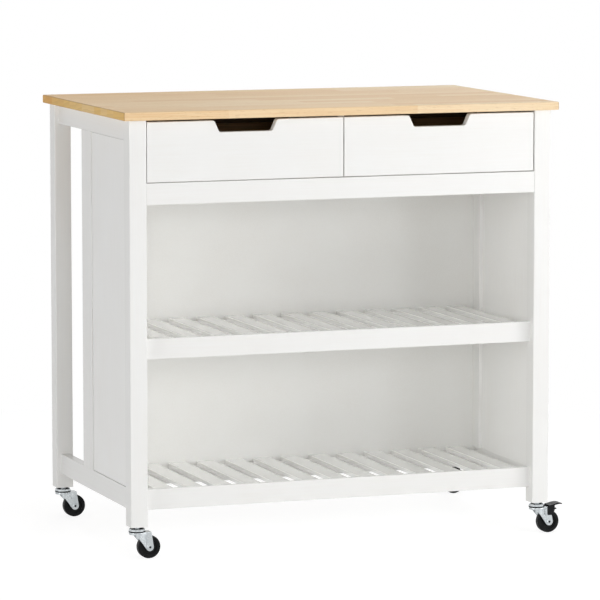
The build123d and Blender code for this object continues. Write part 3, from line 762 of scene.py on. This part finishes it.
def placed(points, place, facing):
    """Points drawn round z, turned so that z looks along facing, and moved to a place."""
    out = np.array(facing, dtype=float)
    along = np.cross(out, (0.0, 0.0, 1.0) if abs(out[2]) < facing_limit else (0.0, 1.0, 0.0))
    beside = np.cross(out, along)
    return points @ np.array([along, beside, out]) + np.array(place)


def add_piece(name, shapes, finish, body):
    """One object from several shapes of points in millimetres and their faces."""
    starts = np.cumsum([0] + [len(points) for points, faces in shapes])
    points = metres(np.vstack([points for points, faces in shapes]))
    faces = np.vstack([faces + start for (_, faces), start in zip(shapes, starts)])
    mesh = bpy.data.meshes.new(name)
    mesh.from_pydata(points.tolist(), [], faces.tolist())
    mesh.polygons.foreach_set("use_smooth", np.ones(len(faces), dtype=bool))
    mesh.materials.append(finish)
    mesh.update()
    piece = bpy.data.objects.new(name, mesh)
    bpy.context.scene.collection.objects.link(piece)
    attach(piece, body)


def screws(spots):
    """Screw heads at (place, facing) spots."""
    points, faces = capped_disc(screw_radius, screw_top, screw_lines)
    return [(placed(points, place, facing), faces) for place, facing in spots]


def bracket_spots():
    """Two screws in each worktop angle: one up into the worktop, one into its rail."""
    corners = [
        ((side * bracket_rail_x + cart_shift, y), (-side, 0))
        for side in hands.values() for y in bracket_side_y
    ]
    corners += [
        ((side * bracket_rear_x + cart_shift, bracket_rear_y), (0, -1)) for side in hands.values()
    ]
    spots = []
    for (x, y), (out_x, out_y) in corners:
        flat = (x + out_x * bracket_screw, y + out_y * bracket_screw, frame_top - bracket_gauge)
        upright = (x + out_x * bracket_gauge, y + out_y * bracket_gauge, frame_top - bracket_screw)
        spots += [(flat, (0, 0, -1)), (upright, (out_x, out_y, 0))]
    return spots


def slide_spots(hand, depth, turned, runs):
    """Screws along both slides of a drawer, at a depth from the wall that carries the slide."""
    walls = ((hand * slide_outer_wall, -hand), (hand * slide_inner_wall, hand))
    return [
        ((wall + toward * depth + cart_shift, slide_front_y + run, slide_height_z), (turned * toward, 0, 0))
        for wall, toward in walls for run in runs
    ]


add_piece("worktop_bracket_screws", screws(bracket_spots()), galvanised, "cart_frame")
panel_spots = [
    ((x + cart_shift, back_panel_rear_y, z), (0, 1, 0)) for x in panel_screw_x for z in panel_screw_z
]
add_piece("back_panel_screws", screws(panel_spots), galvanised, "cart_frame")
cabinet_spots = [
    spot for hand in hands.values() for spot in slide_spots(hand, slide_web, 1, cabinet_screw_runs)
]
add_piece("cabinet_slide_screws", screws(cabinet_spots), galvanised, "cart_frame")
for name, hand in hands.items():
    spots = slide_spots(hand, drawer_slide_web, -1, drawer_screw_runs)
    add_piece(f"{name}_drawer_slide_screws", screws(spots), galvanised, f"{name}_drawer")

swivel_places = {
    f"{end}_{hand}": (swivel_x[hand], swivel_y[end]) for end in swivel_y for hand in swivel_x
}
# Black rings in every caster's dish and in the groove under its race: painted shade
shade_ring_shapes = []
for x, y in swivel_places.values():
    for section in (dish_shade_ring_section, skirt_section):
        points, faces = ring(section, shade_ring_turns)
        shade_ring_shapes.append((points + (x, y, 0.0), faces))
add_piece("caster_painted_shade_rings", shade_ring_shapes, shade_ring, "cart_frame")
# A black socket disc on each end of every axle: painted shade standing in for the dark hollow of the axle
# end
for name, (x, y) in swivel_places.items():
    points, faces = capped_disc(socket_radius, socket_top, socket_lines)
    axle_shade_discs = [
        (placed(points, (x + caster_trail, y + way * axle_end, wheel_radius), (0, way, 0)), faces)
        for way in (-1, 1)
    ]
    add_piece(f"{name}_axle_end_painted_shade", axle_shade_discs, blackened, f"{name}_swivel")


# Stage: floor, lights and camera
def looked_at(tree):
    """One where the camera, a mirror or glass sees the surface, nought where it only gives light."""
    path = add(tree, "ShaderNodeLightPath", {}, {})
    seen = add(
        tree, "ShaderNodeMath", {"operation": "MAXIMUM"},
        {0: path.outputs["Is Camera Ray"], 1: path.outputs["Is Glossy Ray"]},
    )
    return add(
        tree, "ShaderNodeMath", {"operation": "MAXIMUM"},
        {0: seen, 1: path.outputs["Is Transmission Ray"]},
    )


def floor_finish():
    """Pale matt floor. The camera and mirrors see it as white that still takes the shadow."""
    material = bpy.data.materials.new("pale_matt_floor")
    material.use_nodes = True
    tree = material.node_tree
    tree.nodes.clear()
    spot = add(tree, "ShaderNodeTexCoord", {}, {}).outputs["Object"]
    away = add(tree, "ShaderNodeVectorMath", {"operation": "LENGTH"}, {0: spot}).outputs["Value"]
    near = add(
        tree, "ShaderNodeMapRange", {"interpolation_type": "SMOOTHSTEP"},
        {
            "Value": away,
            "From Min": floor_shadow_reach,
            "From Max": floor_shadow_end,
            "To Min": 1.0,
            "To Max": 0.0,
        },
    )
    matt = add(tree, "ShaderNodeBsdfDiffuse", {}, {"Color": linear(floor_pale)})
    glow = add(tree, "ShaderNodeEmission", {}, {"Color": linear(white), "Strength": 1.0})
    takes_shadow = add(tree, "ShaderNodeBsdfDiffuse", {}, {"Color": linear(floor_shadow_tone)})
    dim = add(tree, "ShaderNodeEmission", {}, {"Color": linear(white), "Strength": floor_glow})
    shaded = add(tree, "ShaderNodeAddShader", {}, {0: dim, 1: takes_shadow})
    shown = add(tree, "ShaderNodeMixShader", {}, {0: near, 1: glow, 2: shaded})
    surface = add(tree, "ShaderNodeMixShader", {}, {0: looked_at(tree), 1: matt, 2: shown})
    add(tree, "ShaderNodeOutputMaterial", {}, {"Surface": surface})
    return material


def softbox(name, azimuth, elevation, power):
    """Square area lamp on a ball round the cart, turned to face its middle.

    The azimuth is counted in degrees from straight in front of the cart to its right.
    """
    lamp = bpy.data.lights.new(name, "AREA")
    lamp.shape = "SQUARE"
    lamp.size = lamp_size
    lamp.energy = power
    turn = math.radians(azimuth)
    lift = math.radians(elevation)
    outward = Vector(
        (math.cos(lift) * math.sin(turn), -math.cos(lift) * math.cos(turn), math.sin(lift))
    )
    holder = bpy.data.objects.new(name, lamp)
    bpy.context.scene.collection.objects.link(holder)
    holder.location = Vector(lamp_target) + lamp_distance * outward
    holder.rotation_euler = (-outward).to_track_quat("-Z", "Y").to_euler()
    holder.visible_camera = False


floor_mesh = bpy.data.meshes.new("floor")
corners = floor_half * np.array([(-1, -1, 0), (1, -1, 0), (1, 1, 0), (-1, 1, 0)])
floor_mesh.from_pydata(corners.tolist(), [], [(0, 1, 2, 3)])
floor = bpy.data.objects.new("floor", floor_mesh)
bpy.context.scene.collection.objects.link(floor)
floor_mesh.materials.append(floor_finish())

world = bpy.data.worlds.new("studio")
bpy.context.scene.world = world
world.use_nodes = True
sky = world.node_tree
sky.nodes.clear()
strength = add(
    sky, "ShaderNodeMapRange", {},
    {"Value": looked_at(sky), "To Min": world_light, "To Max": 1.0},
)
backdrop = add(sky, "ShaderNodeBackground", {}, {"Color": linear(white), "Strength": strength})
add(sky, "ShaderNodeOutputWorld", {}, {"Surface": backdrop})

for name, (azimuth, elevation, power) in lamps.items():
    softbox(name, azimuth, elevation, power)
# Light passes many times between the white faces of the bays
bpy.context.scene.cycles.diffuse_bounces = light_bounces

lens = bpy.data.cameras.new("photo_view")
lens.sensor_width = sensor_width
lens.lens = focal_pixels / frame_pixels * sensor_width
lens.clip_end = camera_far
camera = bpy.data.objects.new("photo_view", lens)
bpy.context.scene.collection.objects.link(camera)
camera.location = camera_place
camera.rotation_euler = (math.radians(90.0 - camera_pitch), 0.0, math.radians(-camera_yaw))
bpy.context.scene.camera = camera
bpy.context.scene.view_settings.view_transform = "Standard"

bpy.context.view_layer.update()
